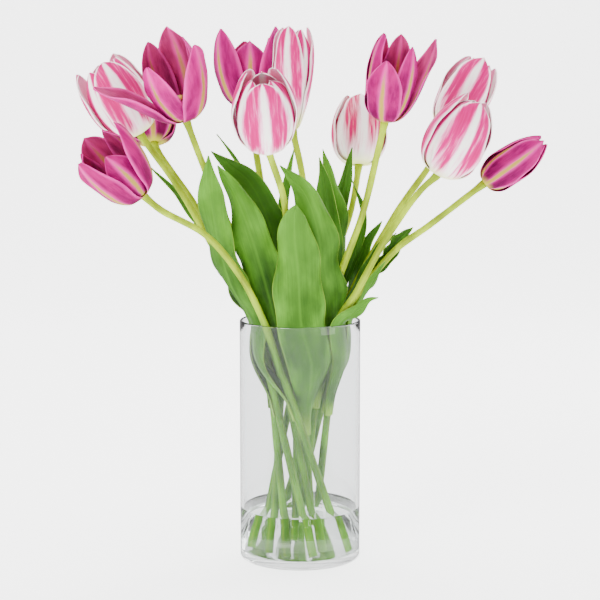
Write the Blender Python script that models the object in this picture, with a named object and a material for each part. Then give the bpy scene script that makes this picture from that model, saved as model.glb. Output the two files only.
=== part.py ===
"""Tulips in a glass cylinder vase: twelve cut tulips with their leaves, standing in a little water.

Every size below is in millimetres and is turned into metres once, when a mesh is made. The frame has
+Z up and its origin at the middle of the vase's underside. The stems cross the vase as a spiral
bunch: each runs straight from where it passes the rim to a foot on the glass floor, part of a turn
round the axis, so that the whole bunch is one smooth twist in which no two stems meet.
"""

import cmath
import math

import bmesh
import bpy
import numpy as np

MM = 0.001
GAP = 0.3  # between pieces that rest on each other
UP = np.array((0.0, 0.0, 1.0))

# Vase and water
VASE_RADIUS = 60.0
VASE_HEIGHT = 240.0
WALL = 3.0
FLOOR = 8.0
LIP_ROUND = 1.4
HEEL_ROUND = 3.0
VASE_SIDES = 36
WATER_TOP = 50.0

# The bunch: its twist between the rim and the floor
TWIST = math.radians(110.0)
FOOT_SPREAD = 0.95
FOOT_LIFT = 1.8  # a slanting foot stands on its lower edge

# Stems: thicker at the foot, then a narrow collar for the petals and the pistil above them
STEM_FOOT_RADIUS = 4.0
STEM_NECK_RADIUS = 3.1
STEM_SIDES = 6
STEM_RINGS_ABOVE_RIM = 10
HOLE_CLEARANCE = 0.9  # how much wider the stems' holes in the water are
PISTIL = ((-2.0, 3.1), (-1.0, 2.2), (3.4, 2.2), (7.0, 3.2), (19.0, 2.8), (20.5, 4.2), (24.0, 3.4))

# Flowers: three outer petals round three inner ones
PETAL_THICKNESS = 0.8
WHORL_STEP = 2.0  # from the outer petals' surface to the inner ones'
COLLAR_INNER = 2.9
COLLAR_OUTER = 4.6
PETAL_BASE_WIDTH = 0.3
OPENING_ANGLE = math.radians(62.0)
PETAL_ROWS = (0.0, 0.22, 0.5, 0.78, 1.0)
PETAL_COLUMNS = 4

# Leaves
LEAF_THICKNESS = 0.9
LEAF_ROWS = (0.0, 0.06, 0.15, 0.27, 0.4, 0.54, 0.68, 0.82, 0.92, 1.0)
LEAF_COLUMNS = 4
CLASP_HALF_ANGLE = 1.3  # how far a leaf's foot wraps round its stem, to each side, in radians
CLASP_RISE = 20.0
HUG_HEIGHT = 200.0  # where the outermost leaves belly out towards the glass
HUG_RADIUS = 49.0
LEAVING = ((1.0, 1.0), (0.66, 0.85), (0.33, 0.62))  # shares of the way up to the rim, and away from the stem
WIDEST_AT = 0.38
LEAF_BEND = ((0.0, 0.1, 0.3, 0.55, 0.85, 1.0), (CLASP_HALF_ANGLE, 1.2, 0.85, 0.5, 0.45, 0.6))

PLUM = (0.55, 0.09, 0.33)
STRIPED = (0.87, 0.50, 0.64)

# Each tulip: where its stem passes the rim (x, y), the points above the rim that it goes through, the
# last being where the flower sits, the way the flower points, its length and radius, the turn of its
# petals, and how far each opens: outer three, then inner three. Petal 0 faces the front. The belly is
# how far the petals swell, low down and high up, and reach makes some petals shorter or longer.
TULIPS = {
    "tulip_01": dict(rim=(-34, -37), route=((-58, -50, 290), (-90, -58, 329), (-132, -68, 354), (-149, -70, 369)),
                     aim=(-0.61, -0.42, 0.67), length=70, radius=23, belly=(1.35, 1.25), colour=PLUM, roll=-50,
                     opening=(0.4, 0.5, 0.3, 0.35, 0.3, 0.2), reach=(1, 1.05, 1, 0.85, 1, 1)),
    "tulip_02": dict(rim=(-44, 2), route=((-84, 0, 309), (-118, -5, 369), (-156, -10, 424)),
                     aim=(-0.48, -0.14, 0.87), length=76, radius=27, belly=(1.35, 1.25), colour=STRIPED, roll=15,
                     opening=(0.25, 0.25, 0.35, 0.2, 0.2, 0.2)),
    "tulip_03": dict(rim=(-26, -12), route=((-66, -18, 327), (-82, -24, 366), (-95, -38, 400), (-108, -55, 439)),
                     aim=(-0.26, -0.38, 0.89), length=78, radius=24, belly=(1.35, 1.25), colour=PLUM, roll=-80,
                     opening=(1.3, 0.6, 0.35, 0.55, 0.3, 0.3), reach=(1, 0.97, 1.05, 0.9, 1, 1)),
    "tulip_04": dict(rim=(-36, 26), route=((-75, 32, 300), (-106, 38, 351), (-148, 50, 413)),
                     aim=(-0.17, 0.43, 0.89), length=60, radius=24, belly=(1.35, 1.25), colour=PLUM, roll=10,
                     opening=(0.2, 0.2, 0.2, 0.1, 0.1, 0.1)),
    "tulip_05": dict(rim=(-16, 36), route=((-26, 46, 300), (-41, 58, 380), (-51, 70, 448)),
                     aim=(-0.02, 0.21, 0.98), length=76, radius=27, belly=(1.35, 1.25), colour=PLUM, roll=-55,
                     opening=(0.5, 0.45, 0.5, 0.35, 0.35, 0.35), reach=(1, 1.03, 1, 0.85, 1, 1)),
    "tulip_06": dict(rim=(-2, -14), route=((-12, -50, 334), (-16, -70, 367), (-30, -95, 414)),
                     aim=(-0.05, -0.58, 0.82), length=78, radius=27, belly=(1.35, 1.25), colour=STRIPED, roll=0,
                     opening=(0.1, 0.15, 0.15, 0.05, 0.05, 0.05)),
    "tulip_07": dict(rim=(-2, 6), route=((2, 4, 310), (3, 2, 376), (-7, 0, 428)),
                     aim=(0.01, 0.0, 1.0), length=98, radius=18, belly=(0.45, 1.6), colour=STRIPED, roll=-15,
                     opening=(0.2, 0.15, 0.2, 0.1, 0.1, 0.1)),
    "tulip_08": dict(rim=(8, 42), route=((34, 66, 294), (52, 82, 339), (61, 96, 389)),
                     aim=(0.02, 0.27, 0.96), length=74, radius=27, belly=(1.35, 1.25), colour=STRIPED, roll=5,
                     opening=(0.0, 0.1, 0.1, 0.0, 0.0, 0.0)),
    "tulip_09": dict(rim=(24, -8), route=((41, -22, 292), (60, -38, 347), (72, -54, 400), (80, -60, 437)),
                     aim=(0.15, -0.16, 0.97), length=82, radius=21, belly=(1.35, 1.25), colour=PLUM, roll=-14,
                     opening=(0.7, 0.6, 0.25, 0.3, 0.2, 0.2), reach=(0.74, 1, 0.95, 0.92, 1, 1)),
    "tulip_10": dict(rim=(40, 15), route=((95, 22, 342), (132, 30, 395), (146, 35, 426)),
                     aim=(0.47, 0.13, 0.87), length=78, radius=23, belly=(1.35, 1.25), colour=STRIPED, roll=-10,
                     opening=(0.15, 0.2, 0.2, 0.1, 0.1, 0.1)),
    "tulip_11": dict(rim=(36, -30), route=((53, -39, 269), (82, -38, 322), (116, -36, 370), (133, -35, 386)),
                     aim=(0.45, -0.2, 0.87), length=80, radius=28, belly=(1.35, 1.25), colour=STRIPED, roll=12,
                     opening=(0.05, 0.05, 0.1, 0.0, 0.0, 0.0)),
    "tulip_12": dict(rim=(44, -3), route=((91, -2, 306), (128, -8, 335), (180, -15, 376)),
                     aim=(0.79, -0.15, 0.59), length=70, radius=18, belly=(1.35, 1.25), colour=PLUM, roll=0,
                     opening=(0.0, 0.0, 0.0, 0.0, 0.0, 0.0)),
}

# Each leaf: the tulip it grows on, the height of its clasp, whether it hugs the glass, where it passes
# the rim (x, y), the points above the rim up to its tip, its full width, how blunt its tip is, and the
# compass bearing (0 is +X, 90 is +Y) that its outer side faces at the rim and at the tip.
LEAVES = {
    "leaf_01": dict(stem="tulip_06", clasp=124, hugs=True, rim=(1.5, -49), width=49, blunt=5, faces=(-90, -95),
                    route=((-2, -55, 295), (-5, -63, 328), (-5, -72, 350), (-4, -78, 359))),
    "leaf_02": dict(stem="tulip_09", clasp=150, hugs=False, rim=(26, -26), width=47, blunt=2.2, faces=(-70, -110),
                    route=((22, -38, 284), (17, -46, 331), (5, -54, 367), (-19, -60, 395))),
    "leaf_03": dict(stem="tulip_03", clasp=165, hugs=False, rim=(-24, -27), width=44, blunt=2.4, faces=(-100, -100),
                    route=((-35, -32, 283), (-48, -38, 328), (-63, -38, 367), (-79, -38, 394))),
    "leaf_04": dict(stem="tulip_01", clasp=145, hugs=True, rim=(-48.5, -17), width=43, blunt=2.8, faces=(-155, -80),
                    route=((-66, -26, 277), (-80, -38, 322), (-86, -46, 366), (-87, -50, 404))),
    "leaf_05": dict(stem="tulip_02", clasp=145, hugs=True, rim=(-51.5, 16), width=26, blunt=2.4, faces=(165, 230),
                    route=((-66, 12, 262), (-80, 12, 290), (-86, 12, 318))),
    "leaf_06": dict(stem="tulip_04", clasp=150, hugs=True, rim=(-36.5, 36.5), width=20, blunt=1.6, faces=(135, 120),
                    route=((-66, 50, 274), (-98, 66, 323), (-124, 80, 356), (-157, 94, 388))),
    "leaf_07": dict(stem="tulip_05", clasp=150, hugs=True, rim=(-19, 46), width=20, blunt=1.6, faces=(112, 150),
                    route=((-33, 64, 293), (-47, 82, 353), (-65, 96, 392), (-87, 104, 420))),
    "leaf_08": dict(stem="tulip_07", clasp=150, hugs=False, rim=(-23, 15), width=46, blunt=2.2, faces=(115, 70),
                    route=((-24, 22, 297), (-34, 26, 342), (-52, 30, 375), (-89, 34, 405))),
    "leaf_09": dict(stem="tulip_05", clasp=175, hugs=False, rim=(1, 28), width=18, blunt=2, faces=(-60, -90),
                    route=((-10, 40, 294), (-16, 50, 355), (-6, 58, 407))),
    "leaf_10": dict(stem="tulip_09", clasp=175, hugs=False, rim=(16, 3), width=32, blunt=2.2, faces=(-70, -80),
                    route=((28, 8, 308), (26, 8, 353), (19, 6, 400))),
    "leaf_11": dict(stem="tulip_07", clasp=185, hugs=False, rim=(12, 18), width=28, blunt=2.2, faces=(-70, -80),
                    route=((34, 30, 306), (36, 34, 351), (23, 38, 407))),
    "leaf_12": dict(stem="tulip_08", clasp=150, hugs=True, rim=(27, 39), width=28, blunt=2.2, faces=(75, 90),
                    route=((34, 52, 304), (42, 55, 354), (53, 56, 408))),
    "leaf_13": dict(stem="tulip_10", clasp=170, hugs=False, rim=(30, 22), width=13, blunt=2, faces=(149, 20),
                    route=((56, 38, 305), (65, 40, 340), (51, 44, 380))),
    "leaf_14": dict(stem="tulip_10", clasp=128, hugs=True, rim=(48, 21), width=24, blunt=4, faces=(24, 60),
                    route=((56, 36, 276), (69, 41, 311), (83, 45, 334))),
    "leaf_15": dict(stem="tulip_12", clasp=190, hugs=False, rim=(44, 7), width=17, blunt=2, faces=(-80, -70),
                    route=((60, 9, 274), (76, 12, 306), (96, 13, 325))),
    "leaf_16": dict(stem="tulip_12", clasp=145, hugs=True, rim=(51.5, -11), width=24, blunt=2.4, faces=(-12, -60),
                    route=((62, -20, 265), (74, -21, 285), (83, -22, 300))),
    "leaf_17": dict(stem="tulip_11", clasp=145, hugs=True, rim=(39, -36), width=25, blunt=2.4, faces=(-50, -60),
                    route=((57, -42, 255), (67, -46, 265), (75, -50, 268))),
    "leaf_18": dict(stem="tulip_12", clasp=285, hugs=False, rim=None, width=16, blunt=2, faces=(60, 80),
                    route=((98, 7, 318), (112, 7, 331))),
}


# Small geometry helpers


def unit(v):
    v = np.asarray(v, float)
    return v / np.linalg.norm(v, axis=-1, keepdims=True)


def bearing(degrees):
    a = math.radians(degrees)
    return np.array((math.cos(a), math.sin(a), 0.0))


def ease(t):
    t = np.clip(t, 0.0, 1.0)
    return t * t * (3 - 2 * t)


def smooth_curve(points, steps=16):
    """A dense centripetal Catmull-Rom curve through the points."""
    p = np.asarray(points, float)
    p = np.vstack((2 * p[0] - p[1], p, 2 * p[-1] - p[-2]))
    dense = []
    for a, b, c, d in zip(p, p[1:], p[2:], p[3:]):
        knots = np.cumsum([0.0] + [math.sqrt(np.linalg.norm(y - x)) for x, y in ((a, b), (b, c), (c, d))])
        for t in np.linspace(knots[1], knots[2], steps, endpoint=False):
            ab = lerp(a, b, (t - knots[0]) / (knots[1] - knots[0]))
            bc = lerp(b, c, (t - knots[1]) / (knots[2] - knots[1]))
            cd = lerp(c, d, (t - knots[2]) / (knots[3] - knots[2]))
            abc = lerp(ab, bc, (t - knots[0]) / (knots[2] - knots[0]))
            bcd = lerp(bc, cd, (t - knots[1]) / (knots[3] - knots[1]))
            dense.append(lerp(abc, bcd, (t - knots[1]) / (knots[2] - knots[1])))
    dense.append(p[-2])
    return np.array(dense)


def lerp(a, b, t):
    return a + (b - a) * t


def along(curve, shares):
    """Points at these shares of the curve's length."""
    run = np.concatenate(([0.0], np.cumsum(np.linalg.norm(np.diff(curve, axis=0), axis=1))))
    return np.column_stack([np.interp(np.asarray(shares) * run[-1], run, curve[:, k]) for k in range(curve.shape[1])])


def tangents(points):
    return unit(np.gradient(points, axis=0))


# The bunch and its stems


def twist_at(z):
    """How the bunch is turned and scaled about the axis at height z, as a complex factor."""
    t = max(VASE_HEIGHT - z, 0.0) / (VASE_HEIGHT - FLOOR)
    return (1 - t) + t * FOOT_SPREAD * complex(math.cos(TWIST), math.sin(TWIST))


def in_bunch(x, y, z):
    """Where a thing that passes the rim at (x, y) is at height z inside the vase."""
    place = complex(x, y) * twist_at(z)
    return np.array((place.real, place.imag, z))


def stem_line(tulip):
    """The stem's centreline from foot to flower: straight in the vase, then a smooth curve."""
    x, y = tulip["rim"]
    heights = np.linspace(FLOOR + FOOT_LIFT, VASE_HEIGHT, 6)
    line = [in_bunch(x, y, z) for z in heights]
    line += [np.array(p, float) for p in tulip["route"]]
    beyond = line[-1] + 12 * unit(tulip["aim"])
    dense = smooth_curve(line + [beyond])
    return dense[: np.argmin(np.linalg.norm(dense - line[-1], axis=1)) + 1]


def stem_rings(tulip):
    """Centres and radii of the stem's rings, on through the petals' collar to the pistil's tip."""
    line = stem_line(tulip)
    crossing = np.argmin(abs(line[:, 2] - VASE_HEIGHT))
    lower = along(line[: crossing + 1], (0.0, 0.5, 0.9))
    upper = along(line[crossing:], np.linspace(0.06, 1.0, STEM_RINGS_ABOVE_RIM, endpoint=False))
    centres = np.vstack((lower, upper))
    radii = np.linspace(STEM_FOOT_RADIUS, STEM_NECK_RADIUS, len(centres))
    rise, thick = np.array(PISTIL).T
    centres = np.vstack((centres, line[-1] + rise[:, None] * unit(tulip["aim"])))
    return centres, np.concatenate((radii, thick))


# Meshes


def new_object(name, bm, colour, roughness, alpha=1.0, smooth=True):
    bmesh.ops.recalc_face_normals(bm, faces=bm.faces)
    mesh = bpy.data.meshes.new(name)
    bm.to_mesh(mesh)
    bm.free()
    if smooth:
        mesh.shade_smooth()
        mesh.set_sharp_from_angle(angle=math.radians(40))
    mesh.materials.append(material(name, colour, roughness, alpha))
    obj = bpy.data.objects.new(name, mesh)
    bpy.context.scene.collection.objects.link(obj)
    return obj


def material(name, colour, roughness, alpha):
    made = bpy.data.materials.new(name)
    made.use_nodes = True
    shader = made.node_tree.nodes["Principled BSDF"]
    shader.inputs["Base Color"].default_value = (*colour, 1.0)
    shader.inputs["Roughness"].default_value = roughness
    shader.inputs["Metallic"].default_value = 0.0
    shader.inputs["Alpha"].default_value = alpha
    return made


def tube(centres, radii, sides):
    """A closed tube through these rings."""
    bm = bmesh.new()
    rings = []
    side = unit(np.cross(tangents(centres)[0], (0.0, 1.0, 0.0)))
    for centre, radius, forward in zip(centres, radii, tangents(centres)):
        side = unit(side - forward * side.dot(forward))
        across = np.cross(forward, side)
        angles = [2 * math.pi * k / sides for k in range(sides)]
        ring = [centre + radius * (math.cos(a) * side + math.sin(a) * across) for a in angles]
        rings.append([bm.verts.new(p * MM) for p in ring])
    for low, high in zip(rings, rings[1:]):
        for k in range(sides):
            bm.faces.new((low[k - 1], low[k], high[k], high[k - 1]))
    bm.faces.new(rings[0])
    bm.faces.new(rings[-1])
    return bm


def thicken(obj, thickness):
    solidify = obj.modifiers.new("thickness", "SOLIDIFY")
    solidify.thickness = thickness * MM
    solidify.offset = 0.0


def add_grid(bm, points, first_row=None):
    """Faces over a grid of points, rows by columns. first_row gives vertices that are already there."""
    rows = [first_row] if first_row else []
    rows += [[bm.verts.new(p * MM) for p in row] for row in points[len(rows):]]
    for low, high in zip(rows, rows[1:]):
        for k in range(len(low) - 1):
            bm.faces.new((low[k], low[k + 1], high[k + 1], high[k]))


# Vase and water


def arc(centre, radius, start, end, steps=3):
    angles = [math.radians(start + (end - start) * k / steps) for k in range(steps + 1)]
    return [(centre[0] + radius * math.cos(a), centre[1] + radius * math.sin(a)) for a in angles]


def turned(profile, sides):
    """A solid of revolution about Z from (radius, height) points that start and end on the axis."""
    bm = bmesh.new()
    verts = [bm.verts.new((r * MM, 0.0, z * MM)) for r, z in profile]
    edges = [bm.edges.new(pair) for pair in zip(verts, verts[1:])]
    bmesh.ops.spin(bm, geom=verts + edges, axis=(0, 0, 1), cent=(0, 0, 0), angle=2 * math.pi, steps=sides)
    bmesh.ops.remove_doubles(bm, verts=bm.verts, dist=1e-6)
    return bm


def make_vase():
    inside = VASE_RADIUS - WALL
    lip = VASE_RADIUS - LIP_ROUND
    heel = VASE_RADIUS - HEEL_ROUND
    profile = [(0.0, 0.0)]
    profile += arc((heel, HEEL_ROUND), HEEL_ROUND, -90, 0)
    profile += arc((lip, VASE_HEIGHT - LIP_ROUND), LIP_ROUND, 0, 180)
    profile += [(inside, FLOOR), (0.0, FLOOR)]
    return new_object("vase", turned(profile, VASE_SIDES), (0.9, 0.95, 0.95), 0.02, alpha=0.25)


def make_water():
    """The water, with a hole for each stem that stands in it."""
    radius = VASE_RADIUS - WALL - GAP
    bottom = FLOOR + GAP
    profile = [(0.0, bottom), (radius, bottom), (radius, WATER_TOP), (0.0, WATER_TOP)]
    water = new_object("water", turned(profile, VASE_SIDES), (0.85, 0.93, 0.95), 0.0, alpha=0.2, smooth=False)
    for name, tulip in TULIPS.items():
        x, y = tulip["rim"]
        ends = np.array([in_bunch(x, y, 0.0), in_bunch(x, y, WATER_TOP + 10)])
        radii = [STEM_FOOT_RADIUS + HOLE_CLEARANCE] * 2
        cutter = new_object(name + "_hole", tube(ends, radii, STEM_SIDES), PLUM, 0.5, smooth=False)
        cutter.hide_render = True
        cutter.display_type = "WIRE"
        cut = water.modifiers.new(name, "BOOLEAN")
        cut.operation = "DIFFERENCE"
        cut.object = cutter
    return water


# Flowers


def petal_profile(tulip, whorl, opening, reach):
    """The petal's middle line, as distance from the flower's axis and height along it."""
    radius = tulip["radius"] - whorl * WHORL_STEP
    length = (tulip["length"] - whorl * 2.5) * reach
    radius *= 1 - 0.8 * whorl * (1 - reach)
    base = whorl * WHORL_STEP
    low, high = tulip["belly"]
    corners = np.array(((COLLAR_OUTER, base), (low * radius, base), (high * radius, 0.72 * length),
                        (0.3 * radius, length)))
    t = np.linspace(0.0, 1.0, 33)[:, None]
    closed = ((1 - t) ** 3 * corners[0] + 3 * t * (1 - t) ** 2 * corners[1]
              + 3 * t ** 2 * (1 - t) * corners[2] + t ** 3 * corners[3])
    steps = np.diff(closed, axis=0)
    sizes = np.linalg.norm(steps, axis=1)
    u = np.cumsum(sizes) / sizes.sum()
    angles = np.arctan2(steps[:, 1], steps[:, 0]) - opening * OPENING_ANGLE * u ** 0.8
    opened = np.cumsum(np.column_stack((np.cos(angles), np.sin(angles))) * sizes[:, None], axis=0)
    return np.vstack((closed[:1], closed[0] + opened))


def petal_half_width(u, distance, full):
    """Half the petal's width, never so wide that it would meet the next petal of its ring."""
    rising = PETAL_BASE_WIDTH + (1 - PETAL_BASE_WIDTH) * np.sin(0.5 * math.pi * np.clip(u / 0.5, 0, 1))
    falling = (1 - np.clip((u - 0.5) / 0.5, 0, 1) ** 2.2) ** 0.62
    shape = np.maximum(rising * falling, 0.1)
    third = math.pi / 3 * distance
    return np.minimum(full * shape, np.where(u > 0, 0.96, 1.0) * third)


def petal_points(tulip, whorl, number, rows, columns):
    """A grid of points over one petal, in the flower's own frame: +Z along its axis."""
    reach = tulip.get("reach", (1,) * 6)[3 * whorl + number]
    profile = petal_profile(tulip, whorl, tulip["opening"][3 * whorl + number], reach)
    middle = along(profile, rows)
    direction = tangents(along(profile, np.linspace(0, 1, 65)))
    direction = direction[np.round(np.asarray(rows) * 64).astype(int)]
    radius = tulip["radius"] - whorl * WHORL_STEP
    half = petal_half_width(np.asarray(rows), middle[:, 0], (0.9 - 0.08 * whorl) * math.pi / 3 * radius)
    tilt = min(tulip["opening"][3 * whorl + number] / 0.8, 1.0)
    flatter = 1 - 0.3 * max(0.0, tulip["opening"][3 * whorl + number] - 0.6)
    curl = np.minimum(middle[:, 0], 1.05 * radius) * flatter
    turn = math.radians(-90 + tulip["roll"] + 120 * number + 60 * whorl)
    out, side = bearing(math.degrees(turn)), bearing(math.degrees(turn) + 90)
    grid = []
    for u, (distance, height), (d_out, d_up), a, c in zip(rows, middle, direction, half, curl):
        level = ease(u / 0.4) * tilt
        inward = unit(lerp(-out, -d_up * out + d_out * UP, level))
        angle = np.linspace(-1, 1, columns + 1) * a / c
        centre = distance * out + height * UP
        grid.append([centre + side * c * math.sin(f) + inward * c * (1 - math.cos(f)) for f in angle])
    return np.array(grid)


def flower_frame(tulip):
    """Axes of the flower's frame as rows: x to the right, y to the back, z along its aim."""
    z = unit(tulip["aim"])
    x = unit(np.cross((0.0, 1.0, 0.0), z))
    return np.array((x, np.cross(z, x), z))


def make_petals(name, tulip, whorl):
    """Three petals joined in a collar round the stem's tip."""
    axes, seat = flower_frame(tulip), stem_line(tulip)[-1]
    bm = bmesh.new()
    count = 3 * PETAL_COLUMNS
    start = -90 + tulip["roll"] + 60 * whorl - 60
    rings = []
    for radius in (COLLAR_INNER, COLLAR_OUTER):
        ring = [radius * bearing(start + 360 * k / count) + whorl * WHORL_STEP * UP for k in range(count)]
        rings.append([bm.verts.new((seat + p @ axes) * MM) for p in ring])
    for k in range(count):
        bm.faces.new((rings[0][k - 1], rings[0][k], rings[1][k], rings[1][k - 1]))
    for number in range(3):
        points = seat + petal_points(tulip, whorl, number, PETAL_ROWS, PETAL_COLUMNS) @ axes
        first = [rings[1][(number * PETAL_COLUMNS + k) % count] for k in range(PETAL_COLUMNS + 1)]
        add_grid(bm, points, first)
    obj = new_object(name, bm, tulip["colour"], 0.45)
    thicken(obj, PETAL_THICKNESS)
    return obj


# Leaves


def leaf_spine(leaf):
    """The leaf's middle line, from its clasp on the stem to its tip, and the way its clasp faces."""
    tulip = TULIPS[leaf["stem"]]
    line = stem_line(tulip)
    clasp = line[np.argmin(abs(line[:, 2] - leaf["clasp"]))]
    above = line[np.argmin(abs(line[:, 2] - leaf["clasp"] - CLASP_RISE))]
    off = STEM_FOOT_RADIUS + GAP + LEAF_THICKNESS / 2 + 0.2
    points = [np.array(p, float) for p in leaf["route"]]
    if leaf["rim"]:
        start, end = np.array(tulip["rim"], float), np.array(leaf["rim"], float)
        if leaf["hugs"]:
            points.insert(0, in_bunch(*end, VASE_HEIGHT))
            hugging = in_bunch(*end, HUG_HEIGHT)
            hugging[:2] *= HUG_RADIUS / math.hypot(*hugging[:2])
            points.insert(0, hugging)
        else:
            for share, away in LEAVING:
                height = lerp(leaf["clasp"] + CLASP_RISE, VASE_HEIGHT, share)
                points.insert(0, in_bunch(*lerp(start, end, away), height))
    grain = unit(above - clasp)
    goal = points[0]
    out = unit((goal - clasp) - grain * np.dot(goal - clasp, grain))
    return smooth_curve([clasp + off * out, above + (off + 0.8) * out] + points), out


def leaf_half_width(u, full, blunt):
    foot = CLASP_HALF_ANGLE * (STEM_FOOT_RADIUS + GAP + LEAF_THICKNESS)
    rising = lerp(foot, full / 2, ease(u / WIDEST_AT))
    falling = (1 - np.clip((u - WIDEST_AT) / (1 - WIDEST_AT), 0, 1) ** blunt) ** 0.9
    return np.maximum(rising * falling, 0.8)


def leaf_faces(leaf, out, fine, heights):
    """The way the leaf's outer side faces, all along it."""
    at_tip = bearing(leaf["faces"][1])
    if not leaf["rim"]:
        return np.array([lerp(out, at_tip, ease(u)) for u in fine])
    crossing = fine[np.argmax(heights >= VASE_HEIGHT)]
    ways = []
    for u, z in zip(fine, heights):
        turn = math.degrees(cmath.phase(twist_at(z)))
        at_rim = bearing(leaf["faces"][0] + turn)
        if u < crossing:
            ways.append(lerp(out, at_rim, ease(u / crossing)))
        else:
            ways.append(lerp(at_rim, at_tip, ease((u - crossing) / (1 - crossing))))
    return np.array(ways)


def leaf_points(leaf, rows, columns):
    """A grid of points over the leaf. Across, it is an arc whose edges bend back from its outer side."""
    curve, outer = leaf_spine(leaf)
    fine = np.linspace(0, 1, 129)
    middle = along(curve, fine)
    direction = tangents(middle)
    faces = leaf_faces(leaf, outer, fine, middle[:, 2])
    half = leaf_half_width(fine, leaf["width"], leaf["blunt"])
    bend = np.interp(fine, *LEAF_BEND)
    wanted_rows = set(np.round(np.asarray(rows) * 128).astype(int))
    grid = []
    for k, forward in enumerate(direction):
        kept = unit(outer - forward * outer.dot(forward))
        found = faces[k] - forward * faces[k].dot(forward)
        if found.dot(kept) < 0:
            found = -found
        outer = unit(lerp(kept, found, 0.15))
        if k in wanted_rows:
            side = np.cross(forward, outer)
            radius = half[k] / bend[k]
            angle = np.linspace(-bend[k], bend[k], columns + 1)
            grid.append([middle[k] + side * radius * math.sin(f) - outer * radius * (1 - math.cos(f))
                         for f in angle])
    return np.array(grid)


def make_leaf(name, leaf):
    bm = bmesh.new()
    add_grid(bm, leaf_points(leaf, LEAF_ROWS, LEAF_COLUMNS))
    obj = new_object(name, bm, (0.20, 0.42, 0.12), 0.5)
    thicken(obj, LEAF_THICKNESS)
    return obj


def main():
    for obj in list(bpy.data.objects):
        bpy.data.objects.remove(obj)
    make_vase()
    make_water()
    for name, tulip in TULIPS.items():
        number = name[-2:]
        new_object("stem_" + number, tube(*stem_rings(tulip), STEM_SIDES), (0.45, 0.58, 0.16), 0.5)
        make_petals("outer_petals_" + number, tulip, 0)
        make_petals("inner_petals_" + number, tulip, 1)
    for name, leaf in LEAVES.items():
        make_leaf(name, leaf)


main()
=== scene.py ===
"""The looks of the tulips in their glass vase: petals, stamens, leaves, stems, glass and water.

The tables and the routes are those of the CAD model, in millimetres, so every piece lies where its CAD
solid does. Each sheet is a grid of points with two UV maps: "shape" runs 0 to 1 across and along it,
and "grain" holds its true size in centimetres, for the veins and streaks.
"""

import cmath
import math

import bmesh
import bpy
import numpy as np
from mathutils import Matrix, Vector


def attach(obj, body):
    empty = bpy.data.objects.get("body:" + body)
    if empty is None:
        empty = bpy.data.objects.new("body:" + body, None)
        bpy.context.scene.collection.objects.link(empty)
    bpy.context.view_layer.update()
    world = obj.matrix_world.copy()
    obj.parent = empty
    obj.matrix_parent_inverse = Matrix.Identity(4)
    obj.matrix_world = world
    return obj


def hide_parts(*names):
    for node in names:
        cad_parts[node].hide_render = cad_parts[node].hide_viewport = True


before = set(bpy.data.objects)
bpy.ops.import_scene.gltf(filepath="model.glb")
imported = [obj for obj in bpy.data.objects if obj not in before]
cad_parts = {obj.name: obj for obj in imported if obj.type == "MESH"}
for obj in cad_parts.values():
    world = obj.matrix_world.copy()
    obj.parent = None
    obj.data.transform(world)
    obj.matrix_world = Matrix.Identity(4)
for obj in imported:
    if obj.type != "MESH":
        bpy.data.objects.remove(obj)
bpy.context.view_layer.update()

MM = 0.001
UP = np.array((0.0, 0.0, 1.0))

# Vase and water, in millimetres as everything below
VASE_RADIUS = 60.0
VASE_HEIGHT = 240.0
WALL = 3.0
FLOOR = 8.0
LIP_ROUND = 1.4
HEEL_ROUND = 3.0
WATER_TOP = 50.0
FLOOR_ROUND = 3.0  # inside, between the wall and the floor
ROUND_SIDES = 128
WALL_SPAN = (20.0, VASE_HEIGHT - 12.0)
WALL_RINGS = 8
UNDERSIDE = ((0.0, 0.6), (30.0, 0.5), (VASE_RADIUS - HEEL_ROUND - 4.0, 0.0))  # (radius, height)
FLOOR_DIP = ((30.0, -0.3), (0.0, -0.6))  # (radius, height from the floor's edge)
WETTING = 0.12  # how far the water reaches into the glass, so that no air shows between them
WATER_DIP = -0.8  # the water's lowest point, from the floor's edge
WATER_EDGE = ((0.0, 1.4), (0.3, 1.2), (0.8, 0.6), (1.8, 0.2), (4.0, 0.0))  # (way from the wall, rise)

# The bunch: its twist between the rim and the floor
TWIST = math.radians(110.0)
FOOT_SPREAD = 0.95
FOOT_LIFT = 1.8

# Stems
STEM_FOOT_RADIUS = 4.0
STEM_NECK_RADIUS = 3.1
STEM_SIDES = 18
STEM_RINGS = 110
STEM_SWELLS = ((5, 0.03), (13, 0.02))  # how many along a stem, and how deep
STEM_FLARE = (1.05, 1.15, 1.3, 1.35)  # of the last rings, under the flower
STEM_TIP = (1.2, 2.6)  # its height above the seat, and its radius

# Pistils and stamens: (height above the seat, radius)
PISTIL = ((0.5, 2.2), (2.0, 2.5), (5.0, 3.0), (9.0, 3.2), (13.0, 3.1), (17.0, 2.7), (19.0, 2.5),
          (20.2, 3.3), (21.6, 4.4), (23.0, 3.8), (23.9, 1.6))
PISTIL_SIDES = 24
PISTIL_LOBES = (3, 0.14)
STAMEN = ((2.5, 1.1), (6.0, 0.9), (9.0, 0.7), (10.0, 0.6), (11.0, 1.2), (13.0, 1.7), (16.0, 1.8),
          (19.0, 1.6), (21.0, 1.1), (22.0, 0.4))
STAMEN_SIDES = 10
STAMEN_LOBES = (2, 0.12)
STAMEN_START = 3.4  # from the flower's axis

# Petals
PETAL_THICKNESS = 0.5
WHORL_STEP = 2.0
INNER_SHORTER = 2.5
COLLAR_OUTER = 4.6
PETAL_BASE_WIDTH = 0.3
OPENING_ANGLE = math.radians(62.0)
PETAL_ROWS = np.linspace(0.0, 1.0, 33)
PETAL_COLUMNS = 18
PROFILE_STEPS = 64
SHOULDER = 0.72  # where the petal's upper belly is, as a share of its length
TIP_RADIUS = 0.3  # a closed petal's tip, as a share of the flower's radius
POINTED_TIP = (2.0, 0.74)
ROUND_TIP = (2.4, 0.58)

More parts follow.
